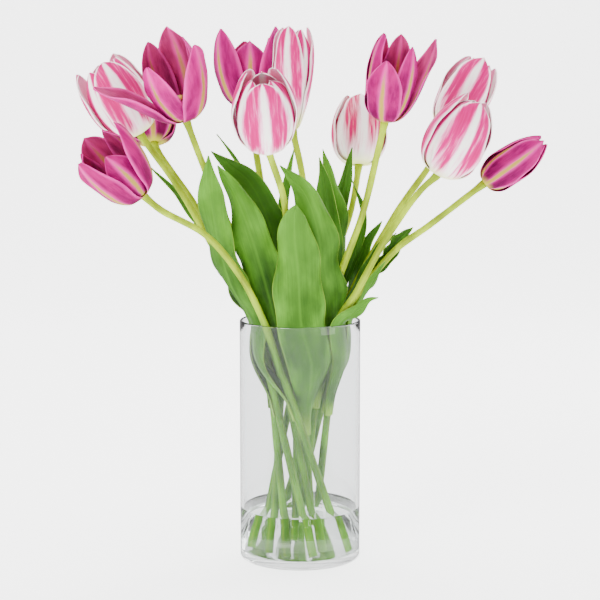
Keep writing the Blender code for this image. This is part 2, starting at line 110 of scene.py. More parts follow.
# Leaves
LEAF_THICKNESS = 0.7
LEAF_ROWS = np.linspace(0.0, 1.0, 81)
LEAF_COLUMNS = 20
LEAF_STEPS = 320
LEAF_TURNING = 0.063  # how fast a leaf's outer side turns to where it should face, at each step
RIPPLES_FROM = 225.0  # the height at which the leaves' ripples begin, which grow for this far
RIPPLES_GROW = 60.0
WIDE_LEAF = 46.0  # a narrower leaf ripples less
CLASP_HALF_ANGLE = 1.3
CLASP_RISE = 20.0
GAP = 0.3
CAD_LEAF_THICKNESS = 0.9
HUG_HEIGHT = 200.0
HUG_RADIUS = 49.0
LEAVING = ((1.0, 1.0), (0.66, 0.85), (0.33, 0.62))
WIDEST_AT = 0.38
LEAF_BEND = ((0.0, 0.1, 0.3, 0.55, 0.85, 1.0), (CLASP_HALF_ANGLE, 1.2, 0.85, 0.5, 0.45, 0.6))

PLUM = "plum"
STRIPED = "striped"

# The stage and the camera, in metres
STAGE_HALF_WIDTH = 6.0
FLOOR_FRONT = -6.0
FLOOR_BACK = 1.6
BACKDROP_BEND = 1.2
BACKDROP_TOP = 6.0
STAGE_GLOW = 2.2
GLOW_LOST_IN_MIRRORS = 2.0
WORLD_STRENGTH = 0.6
WORLD_STRENGTH_SEEN = 5.0
LAMPS = {
    "key": dict(place=(-1.3, -1.8, 1.6), target=(0, 0, 0.35), size=(1.2, 1.2), power=72),
    "fill": dict(place=(1.9, -1.4, 0.8), target=(0, 0, 0.3), size=(1.3, 1.7), power=22),
    "top": dict(place=(0.0, 0.7, 2.4), target=(0, 0.5, 0.0), size=(2.4, 2.0), power=85),
    "edge": dict(place=(1.3, 1.1, 0.8), target=(0, 0, 0.3), size=(0.4, 1.3), power=14),
}
CAMERA_PLACE = (0.0, -1.601, 0.464)
CAMERA_TILT = 82.71  # degrees from looking straight down
CAMERA_SENSOR = 36.0
CAMERA_LENS = 97.6

# Each tulip: where its stem passes the rim (x, y), the points above the rim that it goes through, the
# last being where the flower sits, the way the flower points, its length and radius, the turn of its
# petals, and how far each opens: outer three, then inner three. Petal 0 faces the front. The belly is
# how far the petals swell, low down and high up, and reach makes some petals shorter or longer.
TULIPS = {
    "tulip_01": dict(rim=(-34, -37), length=70, radius=23, belly=(1.35, 1.25), colour=PLUM, roll=-50,
                     route=((-58, -50, 290), (-90, -58, 329), (-132, -68, 354), (-149, -70, 369)),
                     aim=(-0.61, -0.42, 0.67), opening=(0.4, 0.5, 0.3, 0.35, 0.3, 0.2),
                     reach=(1, 1.05, 1, 0.85, 1, 1)),
    "tulip_02": dict(rim=(-44, 2), length=76, radius=27, belly=(1.35, 1.25), colour=STRIPED, roll=15,
                     route=((-84, 0, 309), (-118, -5, 369), (-156, -10, 424)), aim=(-0.48, -0.14, 0.87),
                     opening=(0.25, 0.25, 0.35, 0.2, 0.2, 0.2)),
    "tulip_03": dict(rim=(-26, -12), length=78, radius=24, belly=(1.35, 1.25), colour=PLUM, roll=-80,
                     route=((-66, -18, 327), (-82, -24, 366), (-95, -38, 400), (-108, -55, 439)),
                     aim=(-0.26, -0.38, 0.89), opening=(1.3, 0.6, 0.35, 0.55, 0.3, 0.3),
                     reach=(1, 0.97, 1.05, 0.9, 1, 1)),
    "tulip_04": dict(rim=(-36, 26), length=60, radius=24, belly=(1.35, 1.25), colour=PLUM, roll=10,
                     route=((-75, 32, 300), (-106, 38, 351), (-148, 50, 413)), aim=(-0.17, 0.43, 0.89),
                     opening=(0.2, 0.2, 0.2, 0.1, 0.1, 0.1)),
    "tulip_05": dict(rim=(-16, 36), length=76, radius=27, belly=(1.35, 1.25), colour=PLUM, roll=-55,
                     route=((-26, 46, 300), (-41, 58, 380), (-51, 70, 448)), aim=(-0.02, 0.21, 0.98),
                     opening=(0.5, 0.45, 0.5, 0.35, 0.35, 0.35), reach=(1, 1.03, 1, 0.85, 1, 1)),
    "tulip_06": dict(rim=(-2, -14), length=78, radius=27, belly=(1.35, 1.25), colour=STRIPED, roll=0,
                     route=((-12, -50, 334), (-16, -70, 367), (-30, -95, 414)), aim=(-0.05, -0.58, 0.82),
                     opening=(0.1, 0.15, 0.15, 0.05, 0.05, 0.05)),
    "tulip_07": dict(rim=(-2, 6), length=98, radius=18, belly=(0.45, 1.6), colour=STRIPED, roll=-15,
                     route=((2, 4, 310), (3, 2, 376), (-7, 0, 428)), aim=(0.01, 0.0, 1.0),
                     opening=(0.2, 0.15, 0.2, 0.1, 0.1, 0.1)),
    "tulip_08": dict(rim=(8, 42), length=74, radius=27, belly=(1.35, 1.25), colour=STRIPED, roll=5,
                     route=((34, 66, 294), (52, 82, 339), (61, 96, 389)), aim=(0.02, 0.27, 0.96),
                     opening=(0.0, 0.1, 0.1, 0.0, 0.0, 0.0)),
    "tulip_09": dict(rim=(24, -8), length=82, radius=21, belly=(1.35, 1.25), colour=PLUM, roll=-14,
                     route=((41, -22, 292), (60, -38, 347), (72, -54, 400), (80, -60, 437)),
                     aim=(0.15, -0.16, 0.97), opening=(0.7, 0.6, 0.25, 0.3, 0.2, 0.2),
                     reach=(0.74, 1, 0.95, 0.92, 1, 1)),
    "tulip_10": dict(rim=(40, 15), length=78, radius=23, belly=(1.35, 1.25), colour=STRIPED, roll=-10,
                     route=((95, 22, 342), (132, 30, 395), (146, 35, 426)), aim=(0.47, 0.13, 0.87),
                     opening=(0.15, 0.2, 0.2, 0.1, 0.1, 0.1)),
    "tulip_11": dict(rim=(36, -30), length=80, radius=28, belly=(1.35, 1.25), colour=STRIPED, roll=12,
                     route=((53, -39, 269), (82, -38, 322), (116, -36, 370), (133, -35, 386)),
                     aim=(0.45, -0.2, 0.87), opening=(0.05, 0.05, 0.1, 0.0, 0.0, 0.0)),
    "tulip_12": dict(rim=(44, -3), length=70, radius=18, belly=(1.35, 1.25), colour=PLUM, roll=0,
                     route=((91, -2, 306), (128, -8, 335), (180, -15, 376)), aim=(0.79, -0.15, 0.59),
                     opening=(0.0, 0.0, 0.0, 0.0, 0.0, 0.0)),
}

# Each leaf: the tulip it grows on, the height of its clasp, whether it hugs the glass, where it passes
# the rim (x, y), the points above the rim up to its tip, its full width, how blunt its tip is, and the
# compass bearing (0 is +X, 90 is +Y) that its outer side faces at the rim and at the tip.
LEAVES = {
    "leaf_01": dict(stem='tulip_06', clasp=124, hugs=True, rim=(1.5, -49), width=49, blunt=5,
                    faces=(-90, -95),
                    route=((-2, -55, 295), (-5, -63, 328), (-5, -72, 350), (-4, -78, 359))),
    "leaf_02": dict(stem='tulip_09', clasp=150, hugs=False, rim=(26, -26), width=47, blunt=2.2,
                    faces=(-70, -110),
                    route=((22, -38, 284), (17, -46, 331), (5, -54, 367), (-19, -60, 395))),
    "leaf_03": dict(stem='tulip_03', clasp=165, hugs=False, rim=(-24, -27), width=44, blunt=2.4,
                    faces=(-100, -100),
                    route=((-35, -32, 283), (-48, -38, 328), (-63, -38, 367), (-79, -38, 394))),
    "leaf_04": dict(stem='tulip_01', clasp=145, hugs=True, rim=(-48.5, -17), width=43, blunt=2.8,
                    faces=(-155, -80),
                    route=((-66, -26, 277), (-80, -38, 322), (-86, -46, 366), (-87, -50, 404))),
    "leaf_05": dict(stem='tulip_02', clasp=145, hugs=True, rim=(-51.5, 16), width=26, blunt=2.4,
                    faces=(165, 230), route=((-66, 12, 262), (-80, 12, 290), (-86, 12, 318))),
    "leaf_06": dict(stem='tulip_04', clasp=150, hugs=True, rim=(-36.5, 36.5), width=20, blunt=1.6,
                    faces=(135, 120),
                    route=((-66, 50, 274), (-98, 66, 323), (-124, 80, 356), (-157, 94, 388))),
    "leaf_07": dict(stem='tulip_05', clasp=150, hugs=True, rim=(-19, 46), width=20, blunt=1.6,
                    faces=(112, 150),
                    route=((-33, 64, 293), (-47, 82, 353), (-65, 96, 392), (-87, 104, 420))),
    "leaf_08": dict(stem='tulip_07', clasp=150, hugs=False, rim=(-23, 15), width=46, blunt=2.2,
                    faces=(115, 70),
                    route=((-24, 22, 297), (-34, 26, 342), (-52, 30, 375), (-89, 34, 405))),
    "leaf_09": dict(stem='tulip_05', clasp=175, hugs=False, rim=(1, 28), width=18, blunt=2,
                    faces=(-60, -90), route=((-10, 40, 294), (-16, 50, 355), (-6, 58, 407))),
    "leaf_10": dict(stem='tulip_09', clasp=175, hugs=False, rim=(16, 3), width=32, blunt=2.2,
                    faces=(-70, -80), route=((28, 8, 308), (26, 8, 353), (19, 6, 400))),
    "leaf_11": dict(stem='tulip_07', clasp=185, hugs=False, rim=(12, 18), width=28, blunt=2.2,
                    faces=(-70, -80), route=((34, 30, 306), (36, 34, 351), (23, 38, 407))),
    "leaf_12": dict(stem='tulip_08', clasp=150, hugs=True, rim=(27, 39), width=28, blunt=2.2,
                    faces=(75, 90), route=((34, 52, 304), (42, 55, 354), (53, 56, 408))),
    "leaf_13": dict(stem='tulip_10', clasp=170, hugs=False, rim=(30, 22), width=13, blunt=2,
                    faces=(149, 20), route=((56, 38, 305), (65, 40, 340), (51, 44, 380))),
    "leaf_14": dict(stem='tulip_10', clasp=128, hugs=True, rim=(48, 21), width=24, blunt=4,
                    faces=(24, 60), route=((56, 36, 276), (69, 41, 311), (83, 45, 334))),
    "leaf_15": dict(stem='tulip_12', clasp=190, hugs=False, rim=(44, 7), width=17, blunt=2,
                    faces=(-80, -70), route=((60, 9, 274), (76, 12, 306), (96, 13, 325))),
    "leaf_16": dict(stem='tulip_12', clasp=145, hugs=True, rim=(51.5, -11), width=24, blunt=2.4,
                    faces=(-12, -60), route=((62, -20, 265), (74, -21, 285), (83, -22, 300))),
    "leaf_17": dict(stem='tulip_11', clasp=145, hugs=True, rim=(39, -36), width=25, blunt=2.4,
                    faces=(-50, -60), route=((57, -42, 255), (67, -46, 265), (75, -50, 268))),
    "leaf_18": dict(stem='tulip_12', clasp=285, hugs=False, rim=None, width=16, blunt=2, faces=(60, 80),
                    route=((98, 7, 318), (112, 7, 331))),
}


# Small geometry helpers


def unit(v):
    """The vector, or each row of vectors, at length 1."""
    v = np.asarray(v, float)
    return v / np.linalg.norm(v, axis=-1, keepdims=True)


def bearing(degrees):
    """The level direction on this compass bearing."""
    a = math.radians(degrees)
    return np.array((math.cos(a), math.sin(a), 0.0))


def ease(t):
    """From 0 to 1 as t goes from 0 to 1, smoothly, and flat outside."""
    t = np.clip(t, 0.0, 1.0)
    return t * t * (3 - 2 * t)


def lerp(a, b, t):
    return a + (b - a) * t


def smooth_curve(points, steps=16):
    """A dense centripetal Catmull-Rom curve through the points."""
    p = np.asarray(points, float)
    p = np.vstack((2 * p[0] - p[1], p, 2 * p[-1] - p[-2]))
    dense = []
    for a, b, c, d in zip(p, p[1:], p[2:], p[3:]):
        knots = np.cumsum([0.0] + [math.sqrt(np.linalg.norm(y - x)) for x, y in ((a, b), (b, c), (c, d))])
        for t in np.linspace(knots[1], knots[2], steps, endpoint=False):
            ab = lerp(a, b, (t - knots[0]) / (knots[1] - knots[0]))
            bc = lerp(b, c, (t - knots[1]) / (knots[2] - knots[1]))
            cd = lerp(c, d, (t - knots[2]) / (knots[3] - knots[2]))
            abc = lerp(ab, bc, (t - knots[0]) / (knots[2] - knots[0]))
            bcd = lerp(bc, cd, (t - knots[1]) / (knots[3] - knots[1]))
            dense.append(lerp(abc, bcd, (t - knots[1]) / (knots[2] - knots[1])))
    dense.append(p[-2])
    return np.array(dense)


def along(curve, shares):
    """Points at these shares of the curve's length."""
    run = np.concatenate(([0.0], np.cumsum(np.linalg.norm(np.diff(curve, axis=0), axis=1))))
    wanted = np.asarray(shares) * run[-1]
    return np.column_stack([np.interp(wanted, run, curve[:, k]) for k in range(curve.shape[1])])


def tangents(points):
    return unit(np.gradient(points, axis=0))


def sheet_normals(grid):
    return unit(np.cross(np.gradient(grid, axis=0), np.gradient(grid, axis=1)))


# The bunch and its stems, as in the CAD model


def twist_at(z):
    """The turn and spread of the bunch at this height, as a complex factor."""
    t = max(VASE_HEIGHT - z, 0.0) / (VASE_HEIGHT - FLOOR)
    return (1 - t) + t * FOOT_SPREAD * complex(math.cos(TWIST), math.sin(TWIST))


def in_bunch(x, y, z):
    """Where something that passes the rim at x, y is at height z."""
    place = complex(x, y) * twist_at(z)
    return np.array((place.real, place.imag, z))


def stem_line(tulip):
    """The stem's centreline from foot to flower."""
    x, y = tulip["rim"]
    line = [in_bunch(x, y, z) for z in np.linspace(FLOOR + FOOT_LIFT, VASE_HEIGHT, 6)]
    line += [np.array(p, float) for p in tulip["route"]]
    beyond = line[-1] + 12 * unit(tulip["aim"])
    dense = smooth_curve(line + [beyond])
    return dense[: np.argmin(np.linalg.norm(dense - line[-1], axis=1)) + 1]


def flower_frame(tulip):
    """Axes of the flower's frame as rows: x to the right, y to the back, z along its aim."""
    z = unit(tulip["aim"])
    x = unit(np.cross((0.0, 1.0, 0.0), z))
    return np.array((x, np.cross(z, x), z))


# Meshes


def new_piece(name, mesh, materials, *nodes):
    """A visible piece, which takes the place of the named CAD nodes."""
    for made in materials:
        mesh.materials.append(made)
    mesh.shade_smooth()
    obj = bpy.data.objects.new(name, mesh)
    bpy.context.scene.collection.objects.link(obj)
    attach(obj, "root")
    if nodes:
        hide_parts(*nodes)
    return obj


def grid_mesh(name, grid, across, length, seed=0.0):
    """A mesh over a grid of points, with its shape and grain maps. across is the width of each row."""
    rows, columns = grid.shape[:2]
    verts = [tuple(p * MM) for p in grid.reshape(-1, 3)]
    faces = []
    for r in range(rows - 1):
        for c in range(columns - 1):
            k = r * columns + c
            faces.append((k, k + 1, k + columns + 1, k + columns))
    mesh = bpy.data.meshes.new(name)
    mesh.from_pydata(verts, [], faces)
    u = np.tile(np.linspace(0, 1, columns), rows)
    v = np.repeat(np.linspace(0, 1, rows), columns)
    width = np.repeat(np.asarray(across), columns)
    corner = np.array([loop.vertex_index for loop in mesh.loops])
    shape = np.column_stack((u, v))
    grain = np.column_stack(((u - 0.5) * width / 10 + seed, v * length / 10 + seed))
    for label, values in (("shape", shape), ("grain", grain)):
        layer = mesh.uv_layers.new(name=label)
        layer.data.foreach_set("uv", values[corner].astype(np.float32).ravel())
    return mesh


def ring_mesh(name, rings):
    """A closed tube through rings of points, all with the same number of points."""
    bm = bmesh.new()
    shape = bm.loops.layers.uv.new("shape")
    made = [[bm.verts.new(p * MM) for p in ring] for ring in rings]
    sides = len(made[0])
    for low, high, v in zip(made, made[1:], range(len(made))):
        for k in range(sides):
            face = bm.faces.new((low[k - 1], low[k], high[k], high[k - 1]))
            left, right = ((k - 1) % sides) / sides, ((k - 1) % sides + 1) / sides
            start, end = v / (len(made) - 1), (v + 1) / (len(made) - 1)
            corners = ((left, start), (right, start), (right, end), (left, end))
            for loop, uv in zip(face.loops, corners):
                loop[shape].uv = uv
    bm.faces.new(made[0])
    bm.faces.new(made[-1])
    bmesh.ops.recalc_face_normals(bm, faces=bm.faces)
    mesh = bpy.data.meshes.new(name)
    bm.to_mesh(mesh)
    bm.free()
    return mesh


def tube_rings(centres, radii, sides, lobes=0, lobe_depth=0.0):
    """Rings of points round a centreline, with lobes if asked for."""
    rings = []
    forwards = tangents(centres)
    side = unit(np.cross(forwards[0], (0.0, 1.0, 0.0)))
    for centre, radius, forward in zip(centres, radii, forwards):
        side = unit(side - forward * side.dot(forward))
        across = np.cross(forward, side)
        ring = []
        for k in range(sides):
            a = 2 * math.pi * k / sides
            r = radius * (1 + lobe_depth * math.cos(lobes * a))
            ring.append(centre + r * (math.cos(a) * side + math.sin(a) * across))
        rings.append(ring)
    return rings


def thicken(obj, thickness):
    """Makes a sheet solid, with its second material on its inner side."""
    solidify = obj.modifiers.new("thickness", "SOLIDIFY")
    solidify.thickness = thickness * MM
    solidify.offset = 0.0
    solidify.material_offset = 1
    solidify.material_offset_rim = 0


def turned(name, profile):
    """A solid of revolution about Z from (radius, height) points that start and end on the axis."""
    bm = bmesh.new()
    ways = [bearing(360 * k / ROUND_SIDES) for k in range(ROUND_SIDES)]
    rings = [[bm.verts.new((r * way + z * UP) * MM) for way in ways] for r, z in profile[1:-1]]
    for low, high in zip(rings, rings[1:]):
        for k in range(ROUND_SIDES):
            bm.faces.new((low[k - 1], low[k], high[k], high[k - 1]))
    for (_, z), ring in ((profile[0], rings[0]), (profile[-1], rings[-1])):
        middle = bm.verts.new(z * UP * MM)
        for k in range(ROUND_SIDES):
            bm.faces.new((middle, ring[k - 1], ring[k]))
    bmesh.ops.recalc_face_normals(bm, faces=bm.faces)
    mesh = bpy.data.meshes.new(name)
    bm.to_mesh(mesh)
    bm.free()
    return mesh


# Shader nodes


class Shader:
    """A material's nodes, with short calls for those that the patterns are made of."""

    def __init__(self, name):
        self.material = bpy.data.materials.new(name)
        self.material.use_nodes = True
        self.tree = self.material.node_tree
        self.surface = self.tree.nodes["Principled BSDF"]

    def add(self, kind, inputs, **settings):
        made = self.tree.nodes.new(kind)
        for key, value in settings.items():
            setattr(made, key, value)
        for key, value in inputs.items():
            if isinstance(value, bpy.types.NodeSocket):
                self.tree.links.new(value, made.inputs[key])
            else:
                made.inputs[key].default_value = value
        return made

    def calc(self, operation, a, b=0.0):
        return self.add("ShaderNodeMath", {0: a, 1: b}, operation=operation).outputs[0]

    def times(self, a, b):
        return self.calc("MULTIPLY", a, b)

    def plus(self, a, b):
        return self.calc("ADD", a, b)

    def minus(self, a, b):
        return self.calc("SUBTRACT", a, b)

    def off_middle(self, across):
        """0 on a sheet's middle line and 1 on its edges."""
        return self.calc("ABSOLUTE", self.minus(self.times(across, 2.0), 1.0))

    def uv(self, label):
        return self.add("ShaderNodeUVMap", {}, uv_map=label).outputs[0]

    def axes(self, vector):
        return self.add("ShaderNodeSeparateXYZ", {0: vector}).outputs

    def stretched(self, vector, x, y, z=1.0):
        return self.add("ShaderNodeMapping", {"Vector": vector, "Scale": (x, y, z)}).outputs[0]

    def noise(self, vector, x, y, z=1.0, detail=3.0):
        """Noise with x, y and z lumps to the unit, from 0 to 1."""
        inputs = {"Vector": self.stretched(vector, x, y, z), "Scale": 1.0, "Detail": detail}
        return self.add("ShaderNodeTexNoise", inputs).outputs[0]

    def fade(self, value, start, end):
        """0 at start and 1 at end, smoothly, whichever is greater."""
        inputs = {"Value": value, "From Min": start, "From Max": end, "To Min": 0.0, "To Max": 1.0}
        return self.add("ShaderNodeMapRange", inputs, interpolation_type="SMOOTHSTEP").outputs[0]

    def mix(self, factor, a, b):
        return self.add("ShaderNodeMix", {0: factor, 6: a, 7: b}, data_type="RGBA").outputs[2]

    def bump(self, height, distance, strength=1.0):
        inputs = {"Height": height, "Distance": distance * MM, "Strength": strength}
        return self.add("ShaderNodeBump", inputs).outputs[0]

    def set(self, **values):
        """Sets or links the shader's own sockets."""
        for key, value in values.items():
            socket = self.surface.inputs[key.replace("_", " ")]
            if isinstance(value, bpy.types.NodeSocket):
                self.tree.links.new(value, socket)
            else:
                socket.default_value = value


def srgb(r, g, b):
    """A colour from the usual 0 to 255 numbers."""
    shares = [c / 255 for c in (r, g, b)]
    return tuple(((c + 0.055) / 1.055) ** 2.4 if c > 0.04 else c / 12.92 for c in shares) + (1.0,)


# Petal patterns: one look for each tulip

# rim is the pale pink of the petals' edges, and also of the painted highlight round the midrib
PLUM_LOOK = dict(deep=srgb(104, 2, 64), light=srgb(190, 4, 118), rim=srgb(246, 70, 176),
                 rib=srgb(158, 150, 22), base=srgb(176, 172, 40),
                 dark=srgb(88, 8, 46), inner=srgb(176, 50, 112), inner_rib=srgb(170, 130, 70))
STRIPED_LOOK = dict(ground=srgb(252, 247, 240), flush=srgb(254, 152, 204), flame=srgb(214, 22, 130),
                    deep_flame=srgb(178, 6, 96), base=srgb(222, 226, 140), start=0.08, full=0.40, reach=0.5)
PETAL_ROUGHNESS = {PLUM: 0.42, STRIPED: 0.45}
LOOKS = {
    "tulip_01": dict(PLUM_LOOK, deep=srgb(94, 2, 60), light=srgb(170, 4, 106)),
    "tulip_02": dict(STRIPED_LOOK, reach=0.55),
    "tulip_03": dict(PLUM_LOOK, deep=srgb(112, 4, 72), light=srgb(196, 10, 130)),
    "tulip_04": dict(PLUM_LOOK, deep=srgb(80, 2, 50), light=srgb(136, 6, 86)),
    "tulip_05": dict(PLUM_LOOK, deep=srgb(92, 2, 60), light=srgb(170, 4, 110)),
    "tulip_06": dict(STRIPED_LOOK, reach=0.55),
    "tulip_07": dict(STRIPED_LOOK, reach=0.50),
    "tulip_08": dict(STRIPED_LOOK, reach=0.46, start=0.16, full=0.56, flame=srgb(206, 8, 84),
                     flush=srgb(254, 206, 222)),
    "tulip_09": dict(PLUM_LOOK, deep=srgb(92, 2, 58), light=srgb(170, 4, 108)),
    "tulip_10": dict(STRIPED_LOOK, reach=0.58),
    "tulip_11": dict(STRIPED_LOOK, reach=0.52),
    "tulip_12": dict(PLUM_LOOK, deep=srgb(78, 2, 52), light=srgb(164, 6, 104)),
}

# The colours of the green parts, from dark to light
LEAF_OUTSIDE = (srgb(30, 60, 14), srgb(56, 98, 24), srgb(96, 156, 42))
LEAF_INSIDE = (srgb(28, 58, 14), srgb(48, 88, 22), srgb(74, 126, 32))
# A thin pale margin that also paints the highlight along the leaves' edges
LEAF_PALE_EDGE_AND_HIGHLIGHT = srgb(160, 186, 70)
LEAF_FOOT = srgb(120, 158, 50)
# Greens above the rim, and darker, cooler greens below it
STEM_IN_AIR = (srgb(118, 140, 14), srgb(160, 186, 20))
STEM_IN_VASE = (srgb(62, 104, 28), srgb(90, 146, 38))
STEM_STREAK = srgb(176, 190, 50)
# Darker brownish patches, scattered by noise
STEM_DARK_PATCH = srgb(92, 84, 30)

# Clear materials: colour, refractive index, specular level, and the waves of the surface
GLASS = dict(colour=(0.93, 0.945, 0.95, 1.0), ior=1.5, level=0.1, waves=(9, 9, 4), depth=0.12)
WATER = dict(colour=(0.985, 0.995, 0.985, 1.0), ior=1.333, level=0.3, waves=(40, 40, 40), depth=0.06)


def petal_veins(shader, grain):
    """Fine veins along the petal, as height and as a value round a half."""
    fine = shader.noise(grain, 26, 1.1, detail=2.0)
    broad = shader.noise(grain, 7, 0.5, detail=2.0)
    return shader.plus(shader.times(fine, 0.6), shader.times(broad, 0.4))


def finish_petal(shader, colour, veins, roughness):
    """Silky petals that let a little light through."""
    shader.set(Base_Color=colour, Roughness=roughness, Normal=shader.bump(veins, 0.35, 0.7))
    shader.set(Subsurface_Weight=0.12, Subsurface_Radius=(0.0022, 0.0010, 0.0012), Subsurface_Scale=1.0)
    shader.set(Specular_IOR_Level=0.05)
    return shader.material


def plum_petal(name, look, inside):
    """Magenta petals: paler towards the edges, with a yellow-green midrib and a painted highlight round it;
    darker inside.
    """
    shader = Shader(name)
    across, up = shader.axes(shader.uv("shape"))[:2]
    grain = shader.uv("grain")
    off = shader.off_middle(across)
    veins = petal_veins(shader, grain)
    blotch = shader.noise(grain, 1.1, 0.45)
    light = shader.plus(shader.times(blotch, 0.9), shader.times(veins, 0.7))
    light = shader.plus(light, shader.times(up, 0.5))
    low, high = (look["dark"], look["inner"]) if inside else (look["deep"], look["light"])
    colour = shader.mix(shader.fade(light, 0.70, 1.45), low, high)
    paler = shader.times(shader.fade(off, 0.78, 1.0), 0.55)
    colour = shader.mix(paler, colour, look["rim"])
    wander = shader.times(shader.minus(veins, 0.5), 0.25)
    ribbed = shader.plus(off, wander)
    # A paler pink band round the midrib: a painted highlight along its ridge
    midrib_highlight = shader.times(shader.fade(ribbed, 0.34, 0.06), 0.45)
    colour = shader.mix(midrib_highlight, colour, look["rim"])
    narrow = shader.plus(ribbed, shader.times(up, 0.10))
    rib = shader.times(shader.fade(narrow, 0.20, 0.10), shader.fade(up, 0.95, 0.6))
    colour = shader.mix(shader.times(rib, 0.85), colour, look["inner_rib"] if inside else look["rib"])
    foot = shader.fade(shader.plus(up, shader.times(off, 0.05)), 0.20, 0.03)
    colour = shader.mix(foot, colour, look["base"])
    return finish_petal(shader, colour, veins, PETAL_ROUGHNESS[PLUM])


def striped_petal(name, look, inside):
    """Cream petals with pink flames that follow the veins, and a clear midrib and margin."""
    shader = Shader(name)
    across, up = shader.axes(shader.uv("shape"))[:2]
    grain = shader.uv("grain")
    off = shader.off_middle(across)
    veins = petal_veins(shader, grain)
    flames = shader.noise(grain, 2.6, 0.28, detail=4.0)
    band = shader.times(shader.fade(off, 0.06, 0.32), shader.fade(off, 1.0, 0.74))
    height = shader.plus(up, shader.times(shader.minus(flames, 0.5), 0.9))
    rise = shader.fade(height, look["start"], look["full"])
    heat = shader.plus(shader.times(band, look["reach"]), shader.times(flames, 0.9))
    heat = shader.plus(heat, shader.times(shader.minus(veins, 0.5), 0.5))
    pink = shader.times(shader.fade(heat, 0.55, 0.98), rise)
    if inside:
        pink = shader.times(pink, 0.4)
    hue = shader.mix(shader.fade(heat, 0.75, 1.15), look["flame"], look["deep_flame"])
    flushed = shader.times(shader.fade(heat, 0.40, 0.75), shader.fade(up, 0.05, 0.35))
    ground = shader.mix(shader.times(flushed, 0.75), look["ground"], look["flush"])
    colour = shader.mix(pink, ground, hue)
    foot = shader.fade(up, 0.26, 0.03)
    colour = shader.mix(foot, colour, look["base"])
    return finish_petal(shader, colour, veins, PETAL_ROUGHNESS[STRIPED])


def leaf_green(name, dark, mid, light):
    """A smooth, slightly waxy leaf: fine long veins, mottled greens, and a thin pale edge, partly a painted
    edge highlight.
    """
    shader = Shader(name)
    across, up = shader.axes(shader.uv("shape"))[:2]
    grain = shader.uv("grain")
    off = shader.off_middle(across)
    fine = shader.noise(grain, 14, 0.16, detail=2.0)
    coarse = shader.noise(grain, 3.2, 0.08, detail=2.0)
    mottle = shader.noise(grain, 0.55, 0.22, detail=4.0)
    veins = shader.plus(shader.times(fine, 0.55), shader.times(coarse, 0.45))
    tone = shader.plus(shader.times(mottle, 0.8), shader.times(veins, 0.35))
    colour = shader.mix(shader.fade(tone, 0.32, 0.62), dark, mid)
    tone = shader.plus(tone, shader.times(off, 0.12))
    colour = shader.mix(shader.fade(tone, 0.58, 0.95), colour, light)
    colour = shader.mix(shader.times(shader.fade(off, 0.10, 0.0), 0.25), colour, light)
    colour = shader.mix(shader.times(shader.fade(up, 0.45, 1.0), 0.35), colour, light)
    # The thin pale edge: partly the margin's own colour, partly a painted edge highlight
    colour = shader.mix(shader.times(shader.fade(off, 0.96, 1.0), 0.4), colour, LEAF_PALE_EDGE_AND_HIGHLIGHT)
    colour = shader.mix(shader.fade(up, 0.12, 0.0), colour, LEAF_FOOT)
    rough = shader.plus(shader.times(mottle, 0.16), 0.34)
    shader.set(Base_Color=colour, Roughness=rough, Normal=shader.bump(veins, 0.30, 0.6))
    shader.set(Subsurface_Weight=0.08, Subsurface_Radius=(0.0010, 0.0016, 0.0005), Subsurface_Scale=1.0)
    shader.set(Specular_IOR_Level=0.08)
    return shader.material


def stem_green(name):
    """Stems: yellow-green in the air and a cooler green in the vase, with soft streaks."""
    shader = Shader(name)
    place = shader.add("ShaderNodeTexCoord", {}).outputs["Object"]
    height = shader.axes(place)[2]
    around = shader.uv("shape")
    streaks = shader.noise(around, 9, 2.2, detail=3.0)
    patches = shader.noise(place, 60, 60, 22, detail=3.0)
    in_air = shader.mix(shader.fade(patches, 0.35, 0.7), *STEM_IN_AIR)
    in_vase = shader.mix(shader.fade(patches, 0.35, 0.7), *STEM_IN_VASE)
    colour = shader.mix(shader.fade(height, 0.20, 0.285), in_vase, in_air)
    colour = shader.mix(shader.times(shader.fade(streaks, 0.45, 0.75), 0.35), colour, STEM_STREAK)
    # Darker brownish patches where the noise is low
    colour = shader.mix(shader.times(shader.fade(patches, 0.36, 0.2), 0.5), colour, STEM_DARK_PATCH)
    shader.set(Base_Color=colour, Roughness=0.42, Normal=shader.bump(streaks, 0.25, 0.5))
    shader.set(Subsurface_Weight=0.08, Subsurface_Radius=(0.0014, 0.0016, 0.0006), Subsurface_Scale=1.0)
    shader.set(Specular_IOR_Level=0.08)
    return shader.material


def pistil_green():
    """A pale green ovary under a yellow, grainy stigma."""
    shader = Shader("pistil")
    up = shader.axes(shader.uv("shape"))[1]
    lumps = shader.noise(shader.add("ShaderNodeTexCoord", {}).outputs["Object"], 900, 900, 500)
    colour = shader.mix(shader.fade(up, 0.55, 0.8), srgb(186, 192, 104), srgb(232, 190, 70))
    colour = shader.mix(shader.times(lumps, 0.4), colour, srgb(250, 226, 130))
    shader.set(Base_Color=colour, Roughness=0.6, Normal=shader.bump(lumps, 0.2))
    return shader.material


def anther_brown():
    """Pale filaments and dark anthers, dusty with pollen."""
    shader = Shader("anthers")
    up = shader.axes(shader.uv("shape"))[1]
    grains = shader.noise(shader.add("ShaderNodeTexCoord", {}).outputs["Object"], 1800, 1800, 1800)
    dusty = shader.mix(shader.fade(grains, 0.4, 0.7), srgb(58, 26, 44), srgb(176, 138, 60))
    colour = shader.mix(shader.fade(up, 0.42, 0.5), srgb(222, 208, 140), dusty)
    shader.set(Base_Color=colour, Roughness=0.75, Normal=shader.bump(grains, 0.2))
    return shader.material


